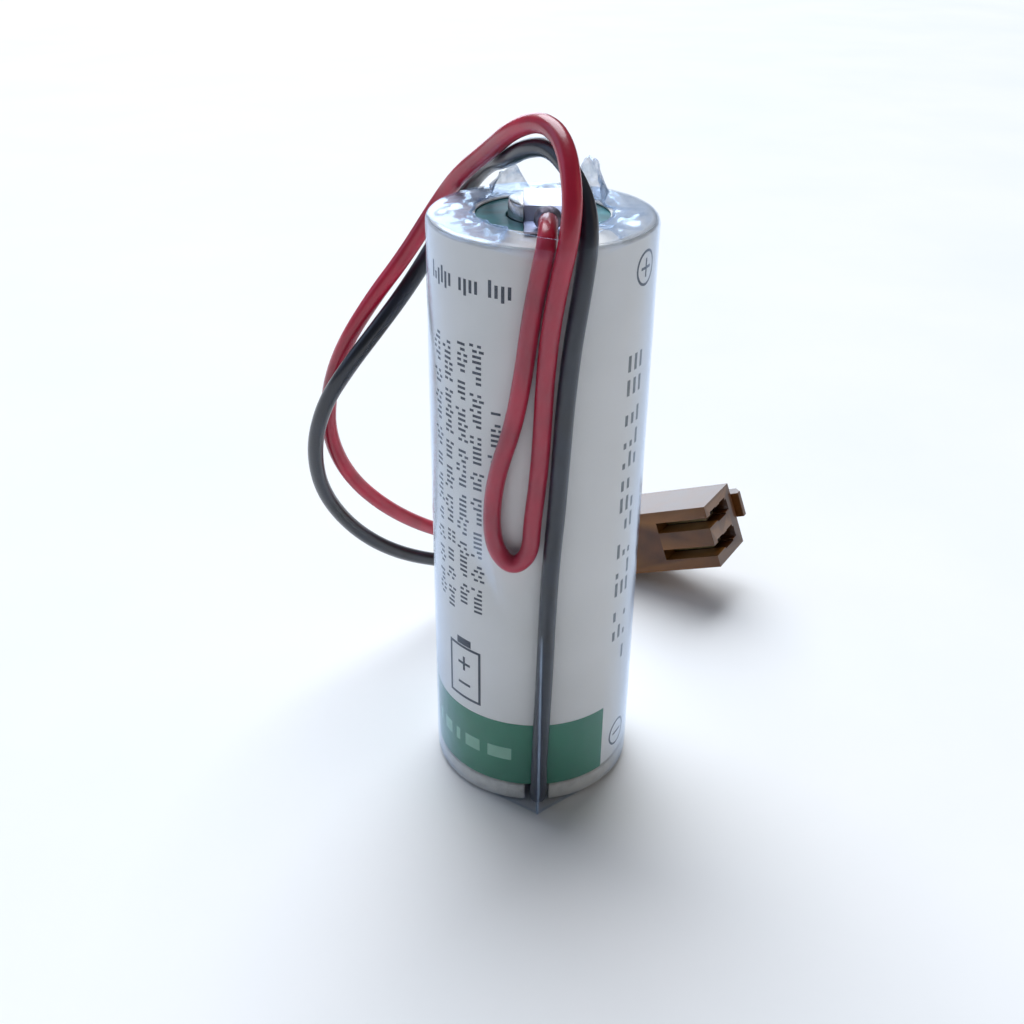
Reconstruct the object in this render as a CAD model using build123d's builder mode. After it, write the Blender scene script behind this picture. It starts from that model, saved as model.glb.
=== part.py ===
"""Leaded lithium thionyl chloride primary cell, A size: sealed bobbin cell, label, clear sleeve,
two hook-up wire leads and a two-way locking connector. Millimetres, +Z up, base at Z = 0."""

import os
from math import cos, pi, radians, sin, sqrt, tan

from build123d import *

os.makedirs("parts", exist_ok=True)

# ---- driving dimensions -------------------------------------------------
can_diameter = 16.86
can_height = 48.0
can_wall = 0.35
can_floor = 0.5
can_corner = 0.9

label_wall = 0.10
label_fold_reach = 3.5      # how far the label turns in over each end
sleeve_wall = 0.18
sleeve_fold_reach = 3.1
sleeve_fold = 0.14
sleeve_floor = 0.12
pad_height = 1.6            # levelling pad that makes room for the lead under the cell
fit = 0.02                  # paper, film and insulators in their seats

lid_thickness = 0.6
lid_depth = 1.6             # from the can's rim down to the lid's top face
lid_flange = 0.4
glass_radius = 2.6
pin_radius = 0.75
fill_radius = 0.6
fill_offset = 5.2

cap_radius = 2.6
cap_rise = 1.2              # above the can's rim
cap_wall = 0.2
cap_flange = 1.0

bottom_insulator_thickness = 0.3
anode_wall = 0.95
separator_wall = 0.2
winding_gap = 0.1           # round the separator, which swells when the cell is filled
collector_radius = 1.15
top_insulator_thickness = 0.4
head_space = 2.54           # between the stack's top disc and the lid
separator_over_anode = 1.0
separator_over_cathode = 2.0
pin_in_stack = 0.6

tab_width = 3.0
tab_thickness = 0.15
solder_width = 1.7
solder_length = 1.9
solder_over_strands = 0.4
solder_edge = 0.3
strip_length = 1.7

lead_diameter = 1.4
strand_diameter = 0.9
lead_clearance = 0.06
lead_slot_clearance = 0.3   # each side of the lead in the pad's slot

plug_length = 14.0
plug_width = 6.76
plug_height = 7.0
plug_pitch = 3.2
wire_hole_radius = 0.85
crimp_start = 2.5           # depth at which a lead meets its contact
slot_depth = 6.2
slot_height = 1.2
slot_reach = 5.4
contact_width = 2.0
contact_height = 1.1
contact_end = 12.6
latch_gap = 0.6
latch_thickness = 0.9
latch_width = 2.8
latch_pivot_x = 4.6
latch_tip_x = 14.6
latch_nose = 0.85
latch_pivot_radius = 0.45
latch_pivot_clearance = 0.06

# ---- derived sizes ------------------------------------------------------
can_radius = can_diameter / 2
can_bore = can_radius - can_wall
label_inner = can_radius + fit / 2
label_outer = label_inner + label_wall
sleeve_inner = label_outer + fit
sleeve_outer = sleeve_inner + sleeve_wall

z_pad_top = sleeve_floor + pad_height
z_can = z_pad_top + label_wall
z_rim = z_can + can_height
z_label_top = z_rim + label_wall
z_top = z_label_top + sleeve_fold
z_floor = z_can + can_floor
z_lid_top = z_rim - lid_depth
z_lid = z_lid_top - lid_thickness
z_cap_top = z_rim + cap_rise
z_washer = z_lid_top + 1.1
z_washer_top = z_rim - 2 * fit

z_insulator = z_floor + fit
z_stack = z_insulator + bottom_insulator_thickness + fit
z_top_insulator = z_lid - head_space - top_insulator_thickness
z_separator_top = z_top_insulator - fit
z_pin = z_separator_top - pin_in_stack
anode_outer = can_bore - fit
anode_inner = anode_outer - anode_wall
separator_outer = anode_inner - winding_gap
cathode_radius = separator_outer - separator_wall - fit

lead_radius = lead_diameter / 2

# ---- lead routes --------------------------------------------------------
# From the solder on the cap's tab: over the rim, down the front under the sleeve, back up in a
# tight fold, over the top, down behind the cell and along the ground to the connector.
red_route = [
    (0.25, -6.3, 51.0),
    (0.2, -8.4, 51.2),
    (0.05, -9.6, 50.2),
    (-0.3, -9.5, 48.4),
    (-0.9, -9.4, 44.8),
    (-1.35, -9.35, 40.8),
    (-2.0, -9.2, 36.8),
    (-3.25, -8.85, 32.6),
    (-3.65, -8.75, 28.8),
    (-3.3, -8.85, 26.0),
    (-1.95, -9.25, 24.7),
    (-0.6, -9.4, 26.0),
    (-0.5, -9.4, 28.8),
    (-0.1, -9.4, 32.6),
    (0.1, -9.5, 36.6),
    (0.2, -9.7, 40.6),
    (0.5, -9.9, 44.6),
    (1.0, -10.0, 48.0),
    (1.7, -9.95, 51.2),
    (2.05, -9.3, 54.4),
    (1.8, -6.9, 57.2),
    (0.3, -4.0, 58.0),
    (-1.9, -1.1, 56.6),
    (-4.0, 2.2, 53.9),
    (-6.3, 5.3, 51.4),
    (-8.1, 7.5, 48.6),
    (-11.0, 7.9, 44.0),
    (-13.9, 8.0, 40.2),
    (-16.7, 8.5, 35.7),
    (-18.4, 9.7, 31.0),
    (-18.9, 11.0, 25.9),
    (-17.4, 12.2, 21.0),
    (-14.2, 14.4, 16.4),
    (-10.3, 18.0, 12.1),
    (-6.4, 22.6, 8.4),
    (-2.8, 27.4, 5.4),
    (0.6, 31.4, 3.7),
    (4.3, 33.6, 3.2),
    (7.6, 32.8, 4.1),
    (11.22, 30.77, 5.83),
]
# From the solder under the base: out under the pad, up the front under the sleeve, over the top
# inside the red lead, and down beside it to the connector.
black_route = [
    (0.35, -5.2, 0.87),
    (0.4, -7.0, 0.87),
    (0.45, -8.75, 0.85),
    (0.5, -9.75, 2.0),
    (0.5, -9.45, 4.6),
    (0.6, -9.35, 8.8),
    (0.75, -9.35, 14.0),
    (0.85, -9.35, 20.2),
    (1.0, -9.45, 25.0),
    (1.3, -9.5, 29.5),
    (1.5, -9.6, 34.0),
    (1.7, -9.6, 38.5),
    (2.05, -9.5, 43.0),
    (2.6, -9.35, 47.0),
    (3.0, -9.0, 50.4),
    (2.75, -8.3, 52.9),
    (1.9, -6.3, 55.2),
    (0.8, -3.8, 56.3),
    (-0.8, -1.2, 55.6),
    (-2.5, 2.2, 53.7),
    (-4.2, 6.6, 51.9),
    (-5.9, 9.2, 49.4),
    (-8.4, 9.5, 44.9),
    (-10.9, 8.1, 41.2),
    (-13.4, 6.8, 38.1),
    (-16.1, 6.2, 34.7),
    (-18.5, 7.0, 30.8),
    (-20.0, 8.9, 25.7),
    (-20.0, 11.4, 20.0),
    (-17.9, 14.0, 14.6),
    (-14.4, 16.6, 10.3),
    (-10.0, 20.6, 6.6),
    (-5.6, 25.4, 3.7),
    (-1.6, 29.9, 1.8),
    (1.9, 32.5, 0.95),
    (5.3, 33.1, 0.8),
    (8.6, 32.09, 1.17),
    (12.22, 30.07, 2.89),
]

# The connector's own frame: X to its mating end, Y to its far side, Z to its upper face.
plug_origin = (9.70, 31.54, 3.41)
plug_axis = (0.81, -0.45, 0.38)
plug_up = (-0.31, 0.22, 0.92)
plug_plane = Plane(origin=plug_origin, x_dir=plug_axis, z_dir=plug_up)


def save(part, name):
    part.label = name
    export_step(part, f"parts/{name}.step")


def corner_radii(points):
    """The arc at each corner uses 0.45 of the shorter run beside it."""
    radii = []
    for before, here, after in zip(points, points[1:], points[2:]):
        run_in = Vector(*here) - Vector(*before)
        run_out = Vector(*after) - Vector(*here)
        half_turn = radians(run_in.get_angle(run_out) / 2)
        radii.append(0.45 * min(run_in.length, run_out.length) / tan(half_turn))
    return radii


def tube_along(points, diameter):
    """A plain wire of the given diameter along straight runs joined by tangent arcs."""
    radii = corner_radii(points)
    with BuildPart() as wire:
        with BuildLine() as path:
            FilletPolyline(points, radius=radii)
        start = Plane(origin=path.line @ 0, z_dir=path.line % 0)
        with BuildSketch(start):
            Circle(diameter / 2)
        sweep(path=path.line)
    length = path.wires()[0].length
    tube_volume = pi * diameter**2 / 4 * length
    print("radii", [round(r, 2) for r in radii])
    print("length", round(length, 2), "volume share", round(wire.part.volume / tube_volume, 4))
    return wire.part


def ring(inner, outer, bottom, top):
    """A plain upright ring on the cell's axis."""
    with BuildPart() as made:
        with BuildSketch(Plane.XY.offset(bottom)):
            Circle(outer)
            if inner > 0:
                Circle(inner, mode=Mode.SUBTRACT)
        extrude(amount=top - bottom)
    return made.part


# ---- cell ---------------------------------------------------------------
with BuildPart() as can:
    with BuildSketch(Plane.XY.offset(z_can)):
        Circle(can_radius)
    extrude(amount=can_height)
    fillet(can.faces().sort_by(Axis.Z)[0].edges(), can_corner)
    with BuildSketch(Plane.XY.offset(z_floor)):
        Circle(can_bore)
    extrude(amount=can_height, mode=Mode.SUBTRACT)
save(can.part, "can")

with BuildPart() as lid:
    with BuildSketch(Plane.XY.offset(z_lid)):
        Circle(can_bore)
    extrude(amount=z_rim - z_lid)
    with BuildSketch(Plane.XY.offset(z_lid_top)):
        Circle(can_bore - lid_flange)
    extrude(amount=lid_depth, mode=Mode.SUBTRACT)
    with BuildSketch(Plane.XY.offset(z_lid)):
        Circle(glass_radius)
        with Locations((fill_offset, 0)):
            Circle(fill_radius)
    extrude(amount=lid_thickness, mode=Mode.SUBTRACT)
save(lid.part, "lid")

save(ring(pin_radius, glass_radius, z_lid, z_lid_top), "glass_seal")

z_pin_top = z_cap_top - cap_wall
save(ring(0, pin_radius, z_pin, z_pin_top), "terminal_pin")

with BuildPart() as fill_ball:
    with Locations((fill_offset, 0, (z_lid + z_lid_top) / 2)):
        Sphere(fill_radius - fit / 2)
save(fill_ball.part, "fill_ball")

z_cap_flange = z_washer - fit - cap_wall
with BuildPart() as positive_cap:
    with BuildSketch(Plane.XZ):
        with BuildLine():
            Polyline(
                (0, z_pin_top),
                (0, z_cap_top),
                (cap_radius, z_cap_top),
                (cap_radius, z_cap_flange + cap_wall),
                (cap_radius + cap_flange, z_cap_flange + cap_wall),
                (cap_radius + cap_flange, z_cap_flange),
                (cap_radius - cap_wall, z_cap_flange),
                (cap_radius - cap_wall, z_pin_top),
                close=True,
            )
        make_face()
    revolve(axis=Axis.Z)
    fillet(positive_cap.edges().filter_by(GeomType.CIRCLE).group_by(Axis.Z)[-1], cap_wall)
save(positive_cap.part, "positive_cap")

header_outer = can_bore - lid_flange - fit
with BuildPart() as header_insulator:
    add(ring(pin_radius + fit, header_outer, z_lid_top, z_cap_flange - fit))
    with BuildSketch(Plane.XY.offset(z_lid_top)):
        with Locations((fill_offset, 0)):
            Circle(fill_radius + fit)
    extrude(amount=fill_radius, mode=Mode.SUBTRACT)
save(header_insulator.part, "header_insulator")
save(ring(cap_radius + 0.1, header_outer, z_washer, z_washer_top), "top_washer")

# ---- what the can holds -------------------------------------------------
save(ring(0, anode_outer, z_insulator, z_insulator + bottom_insulator_thickness), "bottom_insulator")
save(ring(anode_inner, anode_outer, z_stack, z_separator_top - separator_over_anode), "anode")
save(ring(cathode_radius + fit, separator_outer, z_stack, z_separator_top), "separator_tube")
save(ring(collector_radius, cathode_radius, z_stack, z_separator_top - separator_over_cathode), "cathode")
save(ring(0, collector_radius, z_stack, z_pin), "current_collector")
z_insulator_top = z_top_insulator + top_insulator_thickness
save(ring(pin_radius + winding_gap, anode_outer, z_top_insulator, z_insulator_top), "top_insulator")

# ---- label, pad and tabs ------------------------------------------------
with BuildPart() as label_sleeve:
    with BuildSketch(Plane.XY.offset(z_pad_top)):
        Circle(label_outer)
    extrude(amount=z_label_top - z_pad_top)
    with BuildSketch(Plane.XY.offset(z_can)):
        Circle(label_inner)
    extrude(amount=can_height, mode=Mode.SUBTRACT)
    with BuildSketch(Plane.XY.offset(z_pad_top)):
        Circle(label_outer - label_fold_reach)
    extrude(amount=z_label_top - z_pad_top, mode=Mode.SUBTRACT)
save(label_sleeve.part, "label_sleeve")

negative_exit = Vector(0.35, -5.2, sleeve_floor + 0.75)
positive_exit = Vector(0.25, -cap_radius - 3.7, z_top + 0.94)
pocket_width = tab_width + 0.6
pocket_back = 3.0
pocket_front = negative_exit.Y - 0.3

with BuildPart() as base_pad:
    with BuildSketch(Plane.XY.offset(sleeve_floor)):
        Circle(label_outer)
        with Locations((negative_exit.X, (pocket_back + pocket_front) / 2)):
            Rectangle(pocket_width, pocket_back - pocket_front, mode=Mode.SUBTRACT)
        with Locations((negative_exit.X, -label_outer)):
            Rectangle(lead_diameter + 2 * lead_slot_clearance, label_outer, mode=Mode.SUBTRACT)
    extrude(amount=pad_height)
save(base_pad.part, "base_pad")

disc_radius = sleeve_outer - sleeve_fold_reach - fit
save(ring(0, disc_radius, 0, sleeve_floor - fit), "base_disc")

z_negative_tab = z_can - tab_thickness
negative_tab_front = negative_exit.Y + 0.5
negative_tab_back = 2.6
with BuildPart() as negative_tab:
    with BuildSketch(Plane.XY.offset(z_negative_tab)):
        with Locations((negative_exit.X, (negative_tab_front + negative_tab_back) / 2)):
            RectangleRounded(tab_width, negative_tab_back - negative_tab_front, 0.4)
    extrude(amount=tab_thickness)
save(negative_tab.part, "negative_tab")

tab_back = 2.1
tab_bend = -cap_radius - 0.1
tab_front = positive_exit.Y + 0.2
z_tab = z_cap_top
z_tab_low = z_top + 0.05
with BuildPart() as positive_tab:
    with BuildSketch(Plane.YZ.offset(positive_exit.X - tab_width / 2 - 0.2)):
        with BuildLine():
            Polyline(
                (tab_back, z_tab),
                (tab_bend, z_tab),
                (tab_bend - 1.0, z_tab_low),
                (tab_front, z_tab_low),
                (tab_front, z_tab_low + tab_thickness),
                (tab_bend - 0.95, z_tab_low + tab_thickness),
                (tab_bend + 0.05, z_tab + tab_thickness),
                (tab_back, z_tab + tab_thickness),
                close=True,
            )
        make_face()
    extrude(amount=tab_width)
save(positive_tab.part, "positive_tab")


def strands(leaves_at, route):
    """The stripped end of a lead, straight back from where its insulation starts."""
    first_run = Vector(*route[1]) - Vector(*route[0])
    with BuildPart() as bundle:
        with BuildSketch(Plane(origin=leaves_at, z_dir=first_run * -1)):
            Circle(strand_diameter / 2)
        extrude(amount=strip_length)
    return bundle.part


red_strands = strands(positive_exit, red_route)
save(red_strands, "red_strands")
black_strands = strands(negative_exit, black_route)
save(black_strands, "black_strands")

with BuildPart() as positive_solder:
    z_solder = z_tab_low + tab_thickness
    with BuildSketch(Plane.XY.offset(z_solder)):
        with Locations((positive_exit.X, positive_exit.Y + 0.25 + solder_length / 2)):
            RectangleRounded(solder_width, solder_length, 0.5)
    extrude(amount=positive_exit.Z + strand_diameter / 2 + solder_over_strands - z_solder)
    fillet(positive_solder.faces().sort_by(Axis.Z)[-1].edges(), solder_edge)
    add(red_strands, mode=Mode.SUBTRACT)
save(positive_solder.part, "positive_solder")

with BuildPart() as negative_solder:
    z_solder_low = negative_exit.Z - strand_diameter / 2 - 0.12
    with BuildSketch(Plane.XY.offset(z_solder_low)):
        with Locations((negative_exit.X, negative_tab_front + 0.1 + solder_length / 2)):
            RectangleRounded(solder_width, solder_length, 0.5)
    extrude(amount=z_negative_tab - z_solder_low)
    fillet(negative_solder.faces().sort_by(Axis.Z)[0].edges(), 0.25)
    add(black_strands, mode=Mode.SUBTRACT)
save(negative_solder.part, "negative_solder")

# ---- leads --------------------------------------------------------------
red_lead = tube_along(red_route, lead_diameter)
save(red_lead, "red_lead")
black_lead = tube_along(black_route, lead_diameter)
save(black_lead, "black_lead")

# ---- clear sleeve: a tube that tents out over the leads -------------------
# Each level: height, across from the leftmost to the rightmost lead, and their gap to the label.
tent_levels = [
    (0.0, 0.35, 0.6, 0.16),
    (z_can + 0.4, 0.35, 0.6, 0.5),
    (z_can + 4.2, 0.35, 0.75, 0.3),
    (20.0, 0.5, 1.1, 0.3),
    (24.5, -3.5, 1.3, 0.36),
    (z_top - 17, -3.4, 1.6, 0.5),
    (z_top - 6, -1.2, 2.3, 0.76),
    (z_top, -0.3, 3.1, 1.0),
]
tent_foot = 2.4             # how far beside the leads the film meets the cell again
tail_radius = sleeve_outer - sleeve_fold_reach + sleeve_wall
sleeve_tails = [(112, 30, 1.8), (25, 32, 2.8)]      # start angle, turn, height of each torn end


def tent(lead_margin, foot):
    """The solid between the film and the cell at the leads, ruled from level to level."""
    reach = lead_radius + lead_margin
    with BuildPart() as made:
        for pair in zip(tent_levels, tent_levels[1:]):
            for height, left_lead, right_lead, gap in pair:
                left, right = left_lead - reach, right_lead + reach
                front = -(label_outer + lead_radius + gap) - reach
                foot_radius = label_inner - can_wall
                left_foot, right_foot = left - foot, right + foot
                with BuildSketch(Plane.XY.offset(height)):
                    with BuildLine():
                        Polyline(
                            (left_foot, -sqrt(foot_radius**2 - left_foot**2)),
                            (left, front),
                            (right, front),
                            (right_foot, -sqrt(foot_radius**2 - right_foot**2)),
                            close=True,
                        )
                    make_face()
            loft(ruled=True)
    return made.part


with BuildPart() as sleeve_hollow:
    add(tent(lead_clearance, tent_foot))
    with BuildSketch(Plane.XY):
        Circle(sleeve_inner)
    extrude(amount=z_top)
    with BuildSketch(Plane.XY):
        Circle(2 * can_radius)
    extrude(amount=sleeve_floor, mode=Mode.SUBTRACT)
    with BuildSketch(Plane.XY.offset(z_label_top)):
        Circle(2 * can_radius)
        with Locations((1.4, -10)):
            Rectangle(5.4, 8, mode=Mode.SUBTRACT)
    extrude(amount=2 * sleeve_fold, mode=Mode.SUBTRACT)

with BuildPart() as clear_sleeve:
    add(tent(lead_clearance + sleeve_wall, tent_foot + 3 * sleeve_wall))
    with BuildSketch(Plane.XY):
        Circle(sleeve_outer)
    extrude(amount=z_top)
    add(sleeve_hollow.part, mode=Mode.SUBTRACT)
    with BuildSketch(Plane.XY):
        Circle(sleeve_outer - sleeve_fold_reach)
    extrude(amount=z_top, mode=Mode.SUBTRACT)
    for start, turn, height in sleeve_tails:
        across = (cos(radians(start)), sin(radians(start)), 0)
        with BuildSketch(Plane(origin=(0, 0, z_label_top), x_dir=across, z_dir=(across[1], -across[0], 0))):
            with Locations((tail_radius, 0)):
                Rectangle(sleeve_wall, height + sleeve_fold, align=(Align.CENTER, Align.MIN))
        revolve(axis=Axis.Z, revolution_arc=turn)
save(clear_sleeve.part, "clear_sleeve")

# ---- connector ----------------------------------------------------------
half_width = plug_width / 2
row_heights = (plug_pitch / 2, -plug_pitch / 2)

with BuildPart(plug_plane) as connector_housing:
    with Locations((plug_length / 2, 0, 0)):
        Box(plug_length, plug_width, plug_height)
    with Locations((latch_pivot_x - 0.9, half_width + (latch_gap + latch_thickness) / 2, 0.6)):
        Box(1.9, latch_gap + latch_thickness, latch_width)
    for row in row_heights:
        with Locations((crimp_start / 2, 0, row)):
            Cylinder(wire_hole_radius, crimp_start + 0.2, rotation=(0, 90, 0), mode=Mode.SUBTRACT)
        with Locations(((plug_length + crimp_start) / 2, 0, row)):
            Box(plug_length - crimp_start, contact_width + 0.2, contact_height + 0.5, mode=Mode.SUBTRACT)
        with Locations((plug_length - slot_depth / 2, -half_width + slot_reach / 2, row)):
            Box(slot_depth, slot_reach, slot_height, mode=Mode.SUBTRACT)
        with Locations((plug_length - 0.6, -1.7, row + 0.15), (plug_length - 0.6, 0.95, row + 0.15)):
            Box(1.2, 1.5, 1.5, mode=Mode.SUBTRACT)
    with Locations((latch_pivot_x, half_width + latch_gap + latch_thickness / 2, 0.6)):
        Cylinder(latch_pivot_radius + latch_pivot_clearance, latch_width + 0.1, mode=Mode.SUBTRACT)
save(connector_housing.part, "connector_housing")

latch_mid = half_width + latch_gap + latch_thickness / 2
with BuildPart(plug_plane) as latch_arm:
    with Locations((latch_pivot_x, latch_mid, 0.6)):
        Cylinder(latch_pivot_radius, latch_width)
    with BuildSketch(plug_plane.offset(0.6 - latch_width / 2)):
        with BuildLine():
            Polyline(
                (latch_pivot_x, latch_mid - 0.3),
                (latch_pivot_x, latch_mid + 0.3),
                (latch_pivot_x + 1.2, latch_mid + latch_thickness / 2),
                (latch_tip_x - 2.0, latch_mid + latch_thickness / 2),
                (latch_tip_x - 1.8, latch_mid + latch_thickness / 2 + latch_nose),
                (latch_tip_x - 0.9, latch_mid + latch_thickness / 2 + latch_nose),
                (latch_tip_x, latch_mid + 0.2),
                (latch_tip_x, latch_mid - latch_thickness / 2),
                (latch_pivot_x + 1.2, latch_mid - latch_thickness / 2),
                close=True,
            )
        make_face()
    extrude(amount=latch_width)
save(latch_arm.part, "latch_arm")

for name, row in zip(("contact_upper", "contact_lower"), row_heights):
    with BuildPart(plug_plane) as contact:
        with Locations((crimp_start + 1.5, 0, row)):
            Cylinder(0.6, 3.0, rotation=(0, 90, 0))
        with Locations(((contact_end + crimp_start + 2.6) / 2, 0, row)):
            Box(contact_end - crimp_start - 2.6, contact_width, contact_height)
        with Locations((contact_end - 1.5, 0, row)):
            Box(3.0, contact_width - 0.5, contact_height - 0.5, mode=Mode.SUBTRACT)
    save(contact.part, name)
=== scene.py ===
import math
import random

import bmesh
import bpy
import numpy as np
from mathutils import Matrix, Vector, noise


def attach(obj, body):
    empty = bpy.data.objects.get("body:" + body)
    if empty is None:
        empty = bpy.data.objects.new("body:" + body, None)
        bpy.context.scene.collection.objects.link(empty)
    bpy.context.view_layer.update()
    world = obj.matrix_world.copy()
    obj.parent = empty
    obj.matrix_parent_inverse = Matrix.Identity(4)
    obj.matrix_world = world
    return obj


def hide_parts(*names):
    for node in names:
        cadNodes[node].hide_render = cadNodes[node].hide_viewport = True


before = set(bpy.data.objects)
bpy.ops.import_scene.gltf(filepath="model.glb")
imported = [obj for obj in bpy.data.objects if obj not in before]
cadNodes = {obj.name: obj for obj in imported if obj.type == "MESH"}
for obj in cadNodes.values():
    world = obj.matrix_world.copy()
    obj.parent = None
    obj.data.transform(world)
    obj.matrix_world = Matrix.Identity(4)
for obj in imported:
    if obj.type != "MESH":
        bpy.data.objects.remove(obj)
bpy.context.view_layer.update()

mm = 0.001
print("frame loaded:", len(cadNodes), "nodes")


# the small things that everything below uses

def linear(hexCode):
    parts = [int(hexCode[i:i + 2], 16) / 255 for i in (1, 3, 5)]
    return tuple(p / 12.92 if p <= 0.04045 else ((p + 0.055) / 1.055) ** 2.4 for p in parts) + (1.0,)


def addNode(tree, kind, sockets=None, **settings):
    node = tree.nodes.new(kind)
    for name, value in settings.items():
        setattr(node, name, value)
    for key, value in (sockets or {}).items():
        if isinstance(value, bpy.types.NodeSocket):
            tree.links.new(value, node.inputs[key])
        else:
            node.inputs[key].default_value = value
    return node


def perMetre(millimetres):
    return 1 / (millimetres * mm)


def newMaterial(name, values):
    material = bpy.data.materials.new(name)
    material.use_nodes = True
    material.node_tree.nodes.clear()
    shader = addNode(material.node_tree, "ShaderNodeBsdfPrincipled", values)
    addNode(material.node_tree, "ShaderNodeOutputMaterial", {"Surface": shader.outputs[0]})
    return material, material.node_tree, shader


def newPiece(name, vertices, faces):
    mesh = bpy.data.meshes.new(name)
    mesh.from_pydata([Vector(v) * mm for v in vertices], [], faces)
    mesh.validate()
    piece = bpy.data.objects.new(name, mesh)
    bpy.context.scene.collection.objects.link(piece)
    return piece


def roundEdges(piece, width, angle=35, segments=3):
    bevel = piece.modifiers.new("rounded edges", "BEVEL")
    bevel.width = width * mm
    bevel.segments = segments
    bevel.limit_method = "ANGLE"
    bevel.angle_limit = math.radians(angle)
    bevel.use_clamp_overlap = True
    bevel.harden_normals = True


def smooth(piece, angle=40):
    piece.data.polygons.foreach_set("use_smooth", [True] * len(piece.data.polygons))
    piece.data.set_sharp_from_angle(angle=math.radians(angle))
    piece.data.update()


def mount(piece, material, slot, *standsFor, body="cell"):
    if material is not None:
        piece.data.materials.clear()
        piece.data.materials.append(material)
    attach(piece, body)
    if standsFor:
        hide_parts(*standsFor)
    return piece


def turned(name, profile, segments=180):
    # a ring turned on the cell's axis from a closed outline of (radius, height)
    vertices, faces = [], []
    count = len(profile)
    for step in range(segments):
        angle = 2 * math.pi * step / segments
        vertices += [(r * math.cos(angle), r * math.sin(angle), z) for r, z in profile]
    for step in range(segments):
        here, there = step * count, (step + 1) % segments * count
        for k in range(count):
            n = (k + 1) % count
            faces.append((here + k, there + k, there + n, here + n))
    piece = newPiece(name, vertices, faces)
    mend(piece)
    return piece


def mend(piece):
    shape = bmesh.new()
    shape.from_mesh(piece.data)
    bmesh.ops.remove_doubles(shape, verts=shape.verts, dist=0.0005 * mm)
    bmesh.ops.dissolve_degenerate(shape, edges=shape.edges, dist=0.0005 * mm)
    bmesh.ops.recalc_face_normals(shape, faces=shape.faces)
    shape.to_mesh(piece.data)
    shape.free()


def softenedCopy(name, node, bevelWidth, segments=3):
    # the CAD shape with its flat faces whole again and its edges rounded
    mesh = cadNodes[node].data.copy()
    mesh.name = name
    shape = bmesh.new()
    shape.from_mesh(mesh)
    bmesh.ops.remove_doubles(shape, verts=shape.verts, dist=0.002 * mm)
    bmesh.ops.dissolve_limit(
        shape, angle_limit=math.radians(2), verts=shape.verts, edges=shape.edges
    )
    shape.to_mesh(mesh)
    shape.free()
    mesh.materials.clear()
    piece = bpy.data.objects.new(name, mesh)
    bpy.context.scene.collection.objects.link(piece)
    smooth(piece)
    roundEdges(piece, bevelWidth, segments=segments)
    return piece


# surfaces: each one varies in colour over patches, in roughness with the patches, and has a fine grain

def vary(tree, shader, dark, light, patch, roughness, grain, depth, stretch=(1, 1, 1), wear=None):
    coords = addNode(tree, "ShaderNodeTexCoord").outputs["Object"]
    spread = addNode(tree, "ShaderNodeMapping", {"Vector": coords, "Scale": stretch}).outputs[0]
    patches = addNode(
        tree, "ShaderNodeTexNoise", {"Vector": spread, "Scale": perMetre(patch), "Detail": 5.0}
    ).outputs["Fac"]
    share = addNode(
        tree, "ShaderNodeMapRange", {"Value": patches, "From Min": 0.3, "From Max": 0.7}
    ).outputs[0]
    colour = addNode(
        tree, "ShaderNodeMix", {0: share, 6: linear(dark), 7: linear(light)}, data_type="RGBA"
    ).outputs[2]
    if wear:
        edges = addNode(tree, "ShaderNodeNewGeometry").outputs["Pointiness"]
        rubbed = addNode(
            tree, "ShaderNodeMapRange", {"Value": edges, "From Min": 0.52, "From Max": 0.62}
        ).outputs[0]
        colour = addNode(
            tree, "ShaderNodeMix", {0: rubbed, 6: colour, 7: linear(wear)}, data_type="RGBA"
        ).outputs[2]
    tree.links.new(colour, shader.inputs["Base Color"])
    rough = addNode(
        tree, "ShaderNodeMapRange", {"Value": patches, "To Min": roughness[0], "To Max": roughness[1]}
    ).outputs[0]
    tree.links.new(rough, shader.inputs["Roughness"])
    fine = addNode(
        tree, "ShaderNodeTexNoise", {"Vector": spread, "Scale": perMetre(grain), "Detail": 3.0}
    ).outputs["Fac"]
    bump = addNode(tree, "ShaderNodeBump", {"Height": fine, "Strength": 1.0, "Distance": depth * mm})
    tree.links.new(bump.outputs[0], shader.inputs["Normal"])
    return colour


def plain(name, values, *pattern, **more):
    material, tree, shader = newMaterial(name, values)
    vary(tree, shader, *pattern, **more)
    return material


# nickel-plated deep-drawn steel: satin, with faint draw lines up the wall
nickelPlatedSteel = plain(
    "nickelPlatedSteel", {"Metallic": 1.0}, "#9a9b9b", "#c6c7c5", 6, (0.26, 0.4), 0.25, 0.006,
    stretch=(1, 1, 0.08),
)
# stamped stainless: cooler and a little rougher than the can
stampedStainless = plain(
    "stampedStainless", {"Metallic": 1.0}, "#8d9092", "#b4b7b8", 2.5, (0.3, 0.45), 0.2, 0.004
)
# bright nickel plate on the cap: smooth, with handling haze
brightNickel = plain(
    "brightNickel", {"Metallic": 1.0}, "#b3b2b4", "#dcdbe0", 1.6, (0.16, 0.34), 0.35, 0.008, wear="#e9e9ee"
)
# rolled pure nickel strip: fine rolling lines along its length, dull patches; its blue-lavender cast is
# painted reflection of the blue sky
rolledNickel = plain(
    "rolledNickel", {"Metallic": 1.0}, "#626c8e", "#8b96b8", 1.4, (0.34, 0.52), 0.12, 0.006,
    stretch=(1, 0.12, 1), wear="#e4e4ea",
)
# nickel mesh collector: coarse and dull
nickelMesh = plain("nickelMesh", {"Metallic": 1.0}, "#6d6b66", "#989690", 0.6, (0.45, 0.65), 0.3, 0.04)
# tin-lead solder that cooled slowly: grey, lumpy, half dull
coolSolder = plain("coolSolder", {"Metallic": 1.0}, "#57535f", "#84808e", 0.5, (0.36, 0.6), 0.18, 0.02)
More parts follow.
